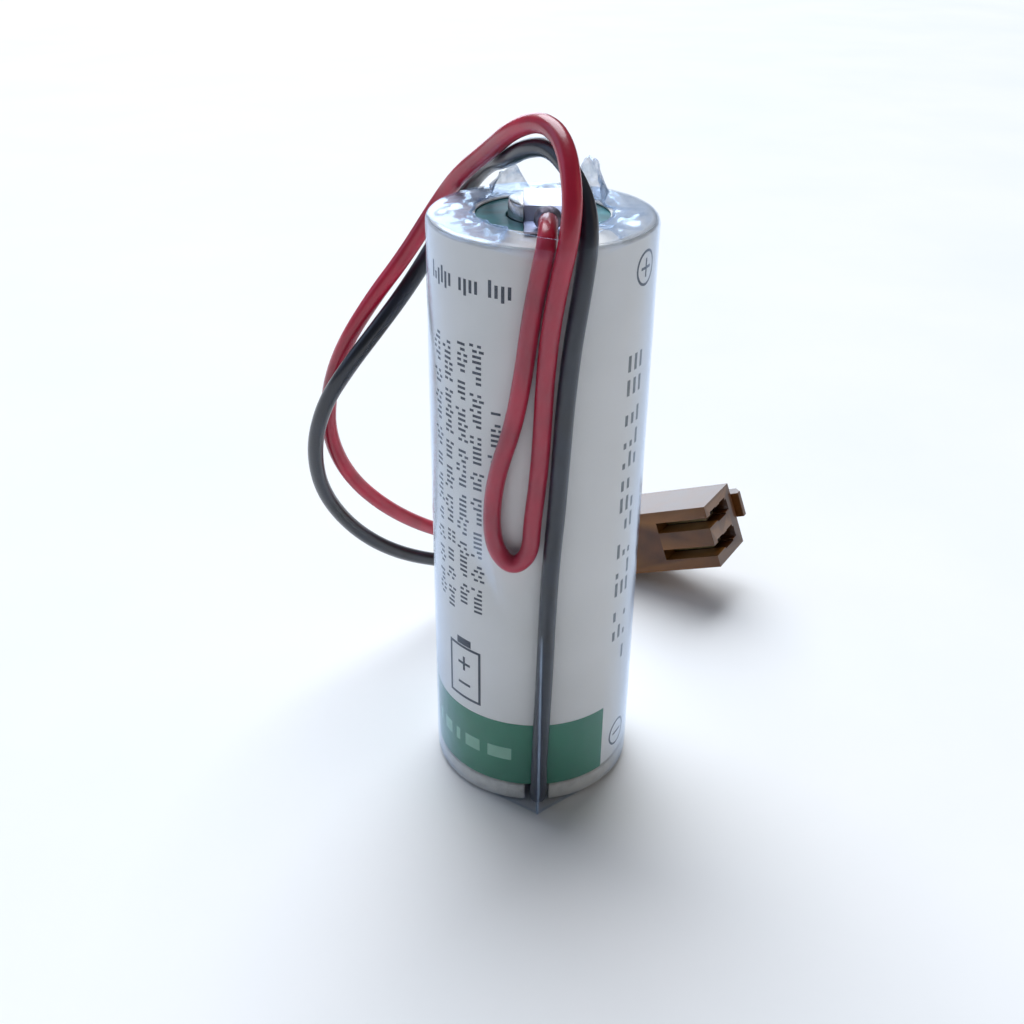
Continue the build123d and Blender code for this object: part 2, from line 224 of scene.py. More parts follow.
# tinned copper strands
tinnedCopper = plain(
    "tinnedCopper", {"Metallic": 1.0}, "#a8937c", "#c9c3b9", 0.4, (0.25, 0.42), 0.1, 0.006, wear="#c98f63"
)
# tin-plated brass contacts: soft shine, yellow where the plate is thin
tinnedBrass = plain(
    "tinnedBrass", {"Metallic": 1.0}, "#8b8a7c", "#bdb9a6", 1.0, (0.24, 0.4), 0.15, 0.006, wear="#b89a55"
)
# lithium foil under argon: dull silver with grey bloom
lithiumFoil = plain("lithiumFoil", {"Metallic": 1.0}, "#7f8286", "#aeb0b3", 3, (0.4, 0.62), 0.4, 0.02)
# pressed acetylene black: matt and porous
carbonBlack = plain(
    "carbonBlack", {"Metallic": 0.0, "IOR": 1.5}, "#0d0d0e", "#1d1d1f", 1.2, (0.85, 0.98), 0.2, 0.08
)
# glass-fibre fleece: white and matt with visible fibres
glassFleece = plain(
    "glassFleece", {"Metallic": 0.0, "IOR": 1.5}, "#d9d8d0", "#f1f0ea", 0.8, (0.8, 0.95), 0.12, 0.05,
    stretch=(1, 1, 0.2),
)
# matched glass of the header seal: green-grey, fire-polished
sealGlass = plain(
    "sealGlass", {"Metallic": 0.0, "IOR": 1.53, "Coat Weight": 0.4},
    "#31463f", "#4d6a60", 1.0, (0.06, 0.18), 0.5, 0.01,
)
# pressed insulating board: tan, matt, with short fibres
insulatingBoard = plain(
    "insulatingBoard", {"Metallic": 0.0, "IOR": 1.5}, "#a08a63", "#c9b48a", 1.2, (0.7, 0.9), 0.15, 0.03
)
# vulcanised fibre washer dyed teal: satin, with darker soaked patches
tealFibre = plain(
    "tealFibre", {"Metallic": 0.0, "IOR": 1.5, "Coat Weight": 0.25, "Coat Roughness": 0.25},
    "#145a63", "#2c8790", 1.6, (0.38, 0.6), 0.14, 0.02,
)
# pressed fibre pad under the cell: grey-white, matt, short fibres
fibrePad = plain(
    "fibrePad", {"Metallic": 0.0, "IOR": 1.5}, "#cfcfcb", "#e3e3df", 0.9, (0.75, 0.92), 0.18, 0.05
)
# kraft insulating paper of the base disc
kraftPaper = plain(
    "kraftPaper", {"Metallic": 0.0, "IOR": 1.5}, "#8d734c", "#b4986b", 0.8, (0.75, 0.92), 0.12, 0.03
)
print("metals and boards ready")


def leadInsulation(name, dark, light):
    # soft PVC, extruded: glossy, with faint draw lines and rubbed spots
    material, tree, shader = newMaterial(
        name, {"Metallic": 0.0, "IOR": 1.53, "Coat Weight": 0.35, "Coat Roughness": 0.12}
    )
    vary(tree, shader, dark, light, 3.5, (0.24, 0.42), 0.22, 0.012)
    return material


def mouldedNylon():
    # glass-filled nylon, injection moulded: dark brown, fine grain under a smooth skin
    material, tree, shader = newMaterial("mouldedNylon", {
        "Metallic": 0.0, "IOR": 1.53, "Specular IOR Level": 0.2, "Coat Weight": 0.55, "Coat Roughness": 0.13,
    })
    vary(tree, shader, "#3f1f09", "#5c3210", 2.4, (0.36, 0.52), 0.16, 0.012, wear="#845521")
    return material


redPvc = leadInsulation("redPvc", "#9a0a2c", "#c2123a")
# the blue cast in this black is painted reflection of the blue sky
blackPvc = leadInsulation("blackPvc", "#070a15", "#121a2c")
brownNylon = mouldedNylon()


# leads: the routes of the two wires, in millimetres, from the solder to the connector
leads = {
    "diameter": 1.4,
    "redLength": 0.1592,
    "blackLength": 0.1614,
    "red": [
        (0.25, -6.3, 51.0), (0.2, -8.4, 51.2), (0.05, -9.6, 50.2), (-0.3, -9.5, 48.4), (-0.9, -9.4, 44.8),
        (-1.35, -9.35, 40.8), (-2.0, -9.2, 36.8), (-3.25, -8.85, 32.6), (-3.65, -8.75, 28.8),
        (-3.3, -8.85, 26.0), (-1.95, -9.25, 24.7), (-0.6, -9.4, 26.0), (-0.5, -9.4, 28.8),
        (-0.1, -9.4, 32.6), (0.1, -9.5, 36.6), (0.2, -9.7, 40.6), (0.5, -9.9, 44.6), (1.0, -10.0, 48.0),
        (1.65, -9.95, 51.2), (1.75, -9.3, 54.1), (1.2, -6.9, 56.7), (-0.2, -4.0, 57.4), (-2.2, -1.1, 56.2),
        (-4.0, 2.2, 53.9), (-6.3, 5.3, 51.4), (-8.1, 7.5, 48.6), (-11.0, 7.9, 44.0), (-13.9, 8.0, 40.2),
        (-16.7, 8.5, 35.7), (-18.4, 9.7, 31.0), (-18.9, 11.0, 25.9), (-17.4, 12.2, 21.0),
        (-14.2, 14.4, 16.4), (-10.3, 18.0, 12.1), (-6.4, 22.6, 8.4), (-2.8, 27.4, 5.4), (0.6, 31.4, 3.7),
        (4.3, 33.6, 3.2), (7.6, 32.8, 4.1), (11.22, 30.77, 5.83),
    ],
    "black": [
        (0.35, -5.2, 0.87), (0.4, -7.0, 0.87), (0.45, -8.75, 0.85), (0.5, -9.75, 2.0), (0.5, -9.45, 4.6),
        (0.6, -9.35, 8.8), (0.75, -9.35, 14.0), (0.85, -9.35, 20.2), (1.0, -9.45, 25.0), (1.3, -9.5, 29.5),
        (1.5, -9.6, 34.0), (1.7, -9.6, 38.5), (2.05, -9.5, 43.0), (2.6, -9.35, 47.0), (3.0, -9.0, 50.4),
        (2.75, -8.3, 52.9), (1.6, -6.3, 54.8), (0.3, -3.8, 55.6), (-1.3, -1.2, 54.9), (-2.7, 2.2, 53.3),
        (-4.2, 6.6, 51.9), (-5.9, 9.2, 49.4), (-8.4, 9.5, 44.9), (-10.9, 8.1, 41.2), (-13.4, 6.8, 38.1),
        (-16.1, 6.2, 34.7), (-18.5, 7.0, 30.8), (-20.0, 8.9, 25.7), (-20.0, 11.4, 20.0),
        (-17.9, 14.0, 14.6), (-14.4, 16.6, 10.3), (-10.0, 20.6, 6.6), (-5.6, 25.4, 3.7), (-1.6, 29.9, 1.8),
        (1.9, 32.5, 0.95), (5.3, 33.1, 0.8), (8.6, 32.09, 1.17), (12.22, 30.07, 2.89),
    ],
}


def makeLead(name, route, radius):
    data = bpy.data.curves.new(name, "CURVE")
    data.dimensions = "3D"
    spline = data.splines.new("NURBS")
    spline.points.add(len(route) - 1)
    for point, place in zip(spline.points, route):
        point.co = (*[value * mm for value in place], 1.0)
    spline.order_u = 3
    spline.use_endpoint_u = True
    spline.resolution_u = 8
    spline.use_smooth = True
    data.bevel_depth = radius * mm
    data.bevel_resolution = 6
    data.use_fill_caps = True
    lead = bpy.data.objects.new(name, data)
    bpy.context.scene.collection.objects.link(lead)
    return lead


def centreLine(lead):
    bare = bpy.data.objects.new("bareLine", lead.data.copy())
    bare.data.bevel_depth = 0
    bpy.context.scene.collection.objects.link(bare)
    mesh = bpy.data.meshes.new_from_object(bare)
    line = np.array([v.co for v in mesh.vertices]) / mm
    bpy.data.objects.remove(bare)
    return line


redLead = makeLead("redLead", leads["red"], leads["diameter"] / 2)
blackLead = makeLead("blackLead", leads["black"], leads["diameter"] / 2)
redLine, blackLine = centreLine(redLead), centreLine(blackLead)
print("leads laid")


# strands: tinned wires laid round a core of the same wire, seven in all, where each lead is stripped
strandBundle = {"wires": 6, "wireRadius": 0.145, "layRadius": 0.3, "length": 1.7, "turns": 0.35}


def strandTree(material):
    tree = bpy.data.node_groups.new("twistedStrands", "GeometryNodeTree")
    for label, kind in (
        ("Wires", "NodeSocketInt"), ("Wire radius", "NodeSocketFloat"), ("Lay radius", "NodeSocketFloat"),
        ("Length", "NodeSocketFloat"), ("Turns", "NodeSocketFloat"),
    ):
        tree.interface.new_socket(label, in_out="INPUT", socket_type=kind)
    tree.interface.new_socket("Geometry", in_out="OUTPUT", socket_type="NodeSocketGeometry")
    sizes = addNode(tree, "NodeGroupInput").outputs
    helix = addNode(
        tree, "GeometryNodeCurveSpiral",
        {"Resolution": 24, "Rotations": sizes["Turns"], "Start Radius": sizes["Lay radius"],
         "End Radius": sizes["Lay radius"], "Height": sizes["Length"]},
    )
    points = addNode(tree, "GeometryNodePoints", {"Count": sizes["Wires"]})
    share = addNode(
        tree, "ShaderNodeMath", {0: addNode(tree, "GeometryNodeInputIndex").outputs[0], 1: sizes["Wires"]},
        operation="DIVIDE",
    )
    angle = addNode(tree, "ShaderNodeMath", {0: share.outputs[0], 1: 2 * math.pi}, operation="MULTIPLY")
    turn = addNode(tree, "ShaderNodeCombineXYZ", {"Z": angle.outputs[0]})
    outer = addNode(
        tree, "GeometryNodeInstanceOnPoints",
        {"Points": points.outputs[0], "Instance": helix.outputs[0], "Rotation": turn.outputs[0]},
    )
    top = addNode(tree, "ShaderNodeCombineXYZ", {"Z": sizes["Length"]})
    core = addNode(tree, "GeometryNodeCurvePrimitiveLine", {"End": top.outputs[0]})
    both = addNode(tree, "GeometryNodeJoinGeometry")
    tree.links.new(outer.outputs[0], both.inputs[0])
    tree.links.new(core.outputs[0], both.inputs[0])
    section = addNode(
        tree, "GeometryNodeCurvePrimitiveCircle", {"Resolution": 10, "Radius": sizes["Wire radius"]}
    )
    wires = addNode(
        tree, "GeometryNodeCurveToMesh",
        {"Curve": both.outputs[0], "Profile Curve": section.outputs[0], "Fill Caps": True},
    )
    real = addNode(tree, "GeometryNodeRealizeInstances", {0: wires.outputs[0]})
    painted = addNode(tree, "GeometryNodeSetMaterial", {"Geometry": real.outputs[0], "Material": material})
    addNode(tree, "NodeGroupOutput", {0: painted.outputs[0]})
    return tree


def grown(name, tree, values):
    # the plain mesh that a node tree makes with these inputs
    host = bpy.data.objects.new("host", bpy.data.meshes.new("host"))
    bpy.context.scene.collection.objects.link(host)
    modifier = host.modifiers.new("grow", "NODES")
    modifier.node_group = tree
    sockets = {s.name: s.identifier for s in tree.interface.items_tree if s.in_out == "INPUT"}
    for label, value in values.items():
        modifier[sockets[label]] = value
    bpy.context.view_layer.update()
    mesh = bpy.data.meshes.new_from_object(host.evaluated_get(bpy.context.evaluated_depsgraph_get()))
    host.modifiers.clear()
    bpy.data.objects.remove(host)
    mesh.name = name
    piece = bpy.data.objects.new(name, mesh)
    bpy.context.scene.collection.objects.link(piece)
    return piece


bundleTree = strandTree(tinnedCopper)


def makeStrands(name, route, node):
    start, following = Vector(route[0]) * mm, Vector(route[1]) * mm
    piece = grown(name, bundleTree, {
        "Wires": strandBundle["wires"], "Wire radius": strandBundle["wireRadius"] * mm,
        "Lay radius": strandBundle["layRadius"] * mm, "Length": strandBundle["length"] * mm,
        "Turns": strandBundle["turns"],
    })
    aim = (start - following).to_track_quat("Z", "Y").to_matrix().to_4x4()
    piece.data.transform(Matrix.Translation(start) @ aim)
    smooth(piece, 60)
    return mount(piece, None, "strand_copper", node)


makeStrands("redStrands", leads["red"], "red_strands")
makeStrands("blackStrands", leads["black"], "black_strands")


# solder: a blob that has flowed out over the tab
solder = {"lumps": 0.07, "lumpScale": 1.7, "spreadAcross": 0.28, "spreadAlong": 0.2, "steps": 48, "rings": 24}


def makeSolder(name, centre, sizes, foot, node):
    across, rings = solder["steps"], solder["rings"]
    vertices, faces = [], []
    for ring in range(rings + 1):
        tilt = math.pi * ring / rings
        for step in range(across):
            angle = 2 * math.pi * step / across
            way = Vector((math.sin(tilt) * math.cos(angle), math.sin(tilt) * math.sin(angle), math.cos(tilt)))
            swell = 1 + solder["lumps"] * noise.noise(way * solder["lumpScale"] + Vector(centre))
            low = max(0.0, -way.z * math.copysign(1, foot))
            spot = Vector((way.x * sizes[0], way.y * sizes[1], way.z * sizes[2])) * swell
            spot.x *= 1 + solder["spreadAcross"] * low ** 2
            spot.y *= 1 + solder["spreadAlong"] * low ** 2
            spot += Vector(centre)
            spot.z = max(spot.z, foot) if foot > 0 else min(spot.z, -foot)
            vertices.append(spot)
    for ring in range(rings):
        for step in range(across):
            n = (step + 1) % across
            upper, lower = ring * across, (ring + 1) * across
            faces.append((upper + step, upper + n, lower + n, lower + step))
    piece = newPiece(name, vertices, faces)
    mend(piece)
    smooth(piece, 70)
    return mount(piece, coolSolder, "solder", node)


makeSolder("positiveSolder", (0.25, -5.15, 51.0), (0.98, 1.05, 0.82), 50.262, "positive_solder")
makeSolder("negativeSolder", (0.35, -3.65, 0.98), (0.84, 0.95, 0.66), -1.668, "negative_solder")
print("solder and strands done")


# label: a printed sleeve round the can, turned in over both ends
label = {
    "inner": 8.44, "outer": 8.54, "foldRadius": 5.04, "low": 1.72, "high": 49.92, "wall": 0.1,
    "shoulder": 0.5,
}


def makeLabel():
    outline = []
    inset = label["shoulder"]
    for wall, radius in ((0.0, label["outer"]), (label["wall"], label["inner"])):
        bend = inset - wall
        top, low = label["high"] - wall, label["low"] + wall
        arc = [(radius - bend + bend * math.cos(a), top - bend + bend * math.sin(a))
               for a in np.linspace(0, math.pi / 2, 7)]
        foot = [(radius - bend + bend * math.cos(a), low + bend - bend * math.sin(a))
                for a in np.linspace(math.pi / 2, 0, 7)]
        side = [(label["foldRadius"], low)] + foot + arc + [(label["foldRadius"], top)]
        outline += side if wall == 0 else side[::-1]
    piece = turned("label", outline, 240)
    smooth(piece, 50)
    # printed polypropylene film: white, satin, with a faint paper-like waviness
    material, tree, shader = newMaterial(
        "whiteLabelFilm", {"Metallic": 0.0, "IOR": 1.49, "Coat Weight": 0.2, "Coat Roughness": 0.2}
    )
    vary(tree, shader, "#e2e2e0", "#eaeae9", 7, (0.36, 0.5), 0.5, 0.004)
    return mount(piece, material, "label_film", "label_sleeve")


makeLabel()


# print: thin ink on the label, as ribbons that follow it; no words, only ticks, bars and plain signs
printing = {
    "radius": 8.542, "ink": 0.012, "seed": 11, "line": 0.24, "signLine": 0.2,
    # upright rows of ticks: place across, lower end, upper end
    "columns": [
        (-9.6, 19.0, 42.0), (-8.1, 18.4, 42.4), (-6.5, 19.4, 42.3), (-5.0, 19.0, 42.3), (-3.4, 30.6, 37.4),
        (13.6, 16.0, 41.0), (15.0, 16.0, 42.0), (16.4, 18.0, 41.5),
    ],
    "columnPitch": 0.42, "columnHeight": 0.78,
    # the level row of ticks near the top: height, start, end
    "topRow": (46.5, -10.2, -2.2), "topPitch": 0.5, "topHeight": 0.95,
    # the battery outline: left, right, low, high
    "outline": (-8.3, -4.9, 9.6, 14.8), "outlineCap": (-7.4, -5.8, 15.35), "capHeight": 0.7,
    "plusAt": 13.1, "minusAt": 11.0, "barFrom": -7.3, "barTo": -5.9,
    # the rings with a plus and a minus: place across, height, then the two ends of the level bar
    "plusRing": (9.0, 47.2, 8.3, 9.7), "minusRing": (9.1, 4.4, 8.4, 9.8),
    "ringRadius": 1.25, "signReach": 0.7,
    # the jet-printed row: place across, start, end
    "jetRow": (8.3, 12.6, 41.0), "jetSpacing": 0.8, "jetLine": 0.34, "jetChance": 0.75,
    "band": (-20.0, 6.7, 5.22), "bandHeight": 6.5, "blockHeight": 1.25, "blockLevel": 5.1, "fineStep": 0.2,
    # the pale blocks on the band: start across, width
    "blocks": [(-10.9, 0.5), (-9.6, 1.2), (-7.7, 0.5), (-6.5, 1.6), (-4.1, 2.2)],
}


def onLabel(across, height, lift):
    angle = across / label["outer"]
    radius = printing["radius"] + lift
    return (radius * math.sin(angle), -radius * math.cos(angle), height)


def ribbon(vertices, faces, points, width, under):
    first = len(vertices)
    count = len(points)
    for k, (u, z) in enumerate(points):
        before, after = points[max(k - 1, 0)], points[min(k + 1, count - 1)]
        along = Vector((after[0] - before[0], after[1] - before[1])).normalized()
        side = Vector((-along.y, along.x)) * width / 2
        for sign, lift in ((1, 0), (-1, 0), (-1, printing["ink"]), (1, printing["ink"])):
            vertices.append(onLabel(u + sign * side.x, z + sign * side.y, under + lift))
    for k in range(count - 1):
        here, there = first + 4 * k, first + 4 * (k + 1)
        for n in range(4):
            m = (n + 1) % 4
            faces.append((here + n, here + m, there + m, there + n))
    faces.append((first + 3, first + 2, first + 1, first))
    last = first + 4 * (count - 1)
    faces.append((last, last + 1, last + 2, last + 3))


def across(start, end, height, step=0.35):
    return [(u, height) for u in np.linspace(start, end, max(2, int(abs(end - start) / step) + 1))]


def ring(u, z, radius):
    return [(u + radius * math.cos(a), z + radius * math.sin(a)) for a in np.linspace(0, 2 * math.pi, 33)]


def inkedPiece(name, strokes, material, under=0.0):
    vertices, faces = [], []
    for points, width in strokes:
        ribbon(vertices, faces, points, width, under)
    piece = newPiece(name, vertices, faces)
    mend(piece)
    return mount(piece, material, "label_film")


def tickRow(chance, place, start, end, pitch, height):
    # words of ticks of uneven height, with gaps; place turns (along, off) into a spot on the label
    strokes, at = [], start
    while at < end:
        for _ in range(chance.randint(3, 9)):
            if at > end:
                break
            low, high = chance.choice(((-0.5, 0.5), (-0.5, 0.5), (-0.5, 0.85), (-0.8, 0.5), (-0.5, 0.1)))
            strokes.append(([place(at, low * height), place(at, high * height)], pitch * 0.5))
            at += pitch
        at += pitch * 1.3
    return strokes


def printedSigns():
    line = printing["line"]
    # outline of a round cell lying upright, with its end cap and a plus: the plain sign for a battery
    left, right, low, high = printing["outline"]
    middle = (printing["barFrom"] + printing["barTo"]) / 2
    signs = [([(left, low), (left, high)], line), ([(right, low), (right, high)], line)]
    signs += [(across(left - line / 2, right + line / 2, level), line) for level in (low, high)]
    signs += [(across(*printing["outlineCap"]), printing["capHeight"])]
    for level in (printing["plusAt"], printing["minusAt"]):
        signs.append((across(printing["barFrom"], printing["barTo"], level), line))
    reach = printing["signReach"]
    signs += [([(middle, printing["plusAt"] - reach), (middle, printing["plusAt"] + reach)], line)]
    # polarity signs
    for u, z, start, end in (printing["plusRing"], printing["minusRing"]):
        signs.append((ring(u, z, printing["ringRadius"]), printing["signLine"]))
        signs.append((across(start, end, z), printing["signLine"]))
    u, z = printing["plusRing"][:2]
    signs.append(([(u, z - reach), (u, z + reach)], printing["signLine"]))
    return signs


def jetRow(chance):
    # pairs of thin grey dashes, as a jet printer leaves them
    u, at, end = printing["jetRow"]
    dashes = []
    while at < end:
        for off in (-printing["jetSpacing"], 0.0, printing["jetSpacing"]):
            if chance.random() < printing["jetChance"]:
                reach = chance.choice((0.5, 0.9, 1.3))
                dashes.append(([(u + off, at), (u + off, at + reach)], printing["jetLine"]))
        at += chance.choice((1.75, 1.95, 2.5))
    return dashes


def makePrint():
    chance = random.Random(printing["seed"])
    dark = []
    for u, low, high in printing["columns"]:
        dark += tickRow(
            chance, lambda along, off, u=u: (u - off, along), low, high,
            printing["columnPitch"], printing["columnHeight"],
        )
    level, start, end = printing["topRow"]
    dark += tickRow(
        chance, lambda along, off: (along, level + off), start, end,
        printing["topPitch"], printing["topHeight"],
    )
    # offset printing ink: dark grey, slightly soaked in
    ink = plain("greyInk", {"Metallic": 0.0, "IOR": 1.5}, "#3a3d46", "#565a64", 1.2, (0.5, 0.7), 0.1, 0.004)
    inkedPiece("printedMarks", dark + printedSigns(), ink)
    # jet ink: paler and duller
    jetInk = plain(
        "jetInk", {"Metallic": 0.0, "IOR": 1.5}, "#6b6f70", "#8b8f8f", 0.5, (0.55, 0.75), 0.12, 0.004
    )
    inkedPiece("jetPrintedRow", jetRow(chance), jetInk)
    # green ink of the band: a solid coat, slightly glossy
    green = plain(
        "greenInk", {"Metallic": 0.0, "IOR": 1.5, "Coat Weight": 0.2, "Coat Roughness": 0.2},
        "#2f7a5f", "#3c8a6c", 5, (0.4, 0.55), 0.3, 0.004,
    )
    step = printing["fineStep"]
    inkedPiece("greenBand", [(across(*printing["band"], step), printing["bandHeight"])], green)
    # pale green ink over the band
    mint = plain("mintInk", {"Metallic": 0.0, "IOR": 1.5}, "#86b8a0", "#9ccbb5", 1.5, (0.4, 0.55), 0.2, 0.004)
    blocks = [
        (across(u, u + width, printing["blockLevel"], step), printing["blockHeight"])
        for u, width in printing["blocks"]
    ]
    inkedPiece("bandBlocks", blocks, mint, under=printing["ink"])


makePrint()
print("label and print done")


# top end: cap, washer, tab
def makeTop():
    washer = turned("topWasher", [(2.72, 49.36), (7.62, 49.36), (7.62, 49.74), (2.72, 49.78)], 160)
    roundEdges(washer, 0.08)
    smooth(washer)
    mount(washer, tealFibre, "washer_teal", "top_washer")
    cap = turned("positiveCap", [
        (0.0001, 50.86), (0.0001, 51.0), (2.3, 51.0), (2.52, 50.93), (2.59, 50.75), (2.6, 49.36),
        (3.55, 49.3), (3.55, 49.14), (2.42, 49.14), (2.4, 50.7), (2.2, 50.86),
    ], 120)
    smooth(cap)
    mount(cap, brightNickel, "cap_nickel", "positive_cap")


makeTop()


def makeTab(name, node):
    piece = softenedCopy(name, node, 0.04, 2)
    return mount(piece, rolledNickel, "tab_nickel", node)


makeTab("positiveTab", "positive_tab")
makeTab("negativeTab", "negative_tab")
mount(softenedCopy("basePad", "base_pad", 0.2), fibrePad, "pad_fibre", "base_pad")
mount(softenedCopy("baseDisc", "base_disc", 0.03, 2), kraftPaper, "disc_paper", "base_disc")
print("tabs, pad and disc done")


# clear sleeve: shrunk film that tents out over the leads, folded in over both ends, torn at the top
film = {
    "cellRadius": 8.65, "wall": 0.1, "clearance": 0.12, "foldRadius": 5.64, "shoulder": 0.5,
    "lowFace": 0.06, "baseBend": 0.9, "foldLevel": 49.99, "levels": 92, "slope": 0.3, "softening": 0.8,
    "creaseHeight": 19.0, "creaseTurn": 2.6, "creaseReach": 0.55, "creasePoint": 0.05, "lip": 0.95,
    # the last value on the next line paints a highlight along the crease
    "creaseAside": 0.45, "creaseDrift": 0.01, "creasePaintedHighlight": 0.8,
    "tuck": 0.35, "tuckHeight": 0.7, "ripple": 0.03, "rimLift": 0.25,
    # torn ends: angle, half width, height
    "tails": [(118, 19, 2.0), (46, 19, 2.9)], "tailRows": 9, "foldRows": 20,
    "mouthRadius": 5.2, "mouthWander": 0.35, "pucker": 0.5, "gather": 0.3,
    # where the film is clear over the leads: angle from the front, half width
    "clearOverLeads": (10, 30),
    # the shoulder and fold milk is partly the haze of doubled film and partly a painted pale-blue sheen of
    # sky reflection
    "baseMilk": 0.3, "sideMilk": 0.002, "shoulderMilkAndPaintedSheen": 0.2, "foldMilkAndPaintedSheen": (0.3, 0.2), "tornMilk": (0.3, 0.4),
    "mirrorHeadOn": 0.006, "mirrorAtSlant": 0.9, "mirrorPower": 5.0,
}


def leadSections(height):
    # circles round the leads in front of the cell, where a level plane cuts them
    reach = leads["diameter"] / 2 + film["clearance"]
    found = []
    for x, y, z in np.vstack((redLine, blackLine)):
        if y < -7 and abs(z - height) < reach:
            found.append((x, y, math.sqrt(reach ** 2 - (z - height) ** 2)))
    return found


def filmAngles():
    front = np.radians(np.arange(-150, -30, 0.65))
    rest = np.radians(np.arange(-30, 210, 3.0))
    return np.concatenate([front, rest])


def hullRadius(angles, circles):
    # polar radius of a film stretched round the cell and the circles
    ways = np.radians(np.arange(-180, 180, 1.0))
    reach = np.full(len(ways), film["cellRadius"])
    for x, y, r in circles:
        reach = np.maximum(reach, x * np.cos(ways) + y * np.sin(ways) + r)
    between = np.cos(angles[:, None] - ways[None, :])
    radius = np.where(between > 0.2, reach[None, :] / np.maximum(between, 0.2), 99)
    return radius.min(axis=1)


def filmShape():
    angles = filmAngles()
    levels = np.linspace(0, film["foldLevel"] - film["shoulder"], film["levels"])
    raw = []
    for z in levels:
        circles = leadSections(max(z, film["baseBend"]))
        fade = max(0.0, 1 - z / film["creaseHeight"])
        if fade > 0:
            front = max(r - y for x, y, r in circles)
            aside = film["creaseAside"] + film["creaseDrift"] * z
            circles.append((aside, -(front + film["creaseReach"] * fade ** 0.6), film["creasePoint"]))
        raw.append(hullRadius(angles, circles))
    raw = np.array(raw)
    apart = np.abs(levels[:, None] - levels[None, :])
    tented = np.array([(raw - film["slope"] * apart[k][:, None]).max(axis=0) for k in range(len(levels))])
    weights = np.exp(-0.5 * (apart / film["softening"]) ** 2)
    weights /= weights.sum(axis=1, keepdims=True)
    return angles, levels, np.maximum(weights @ tented, raw)


def bumpShape(distance, width):
    t = max(0.0, 1 - abs(distance) / width)
    return t * t * (3 - 2 * t)


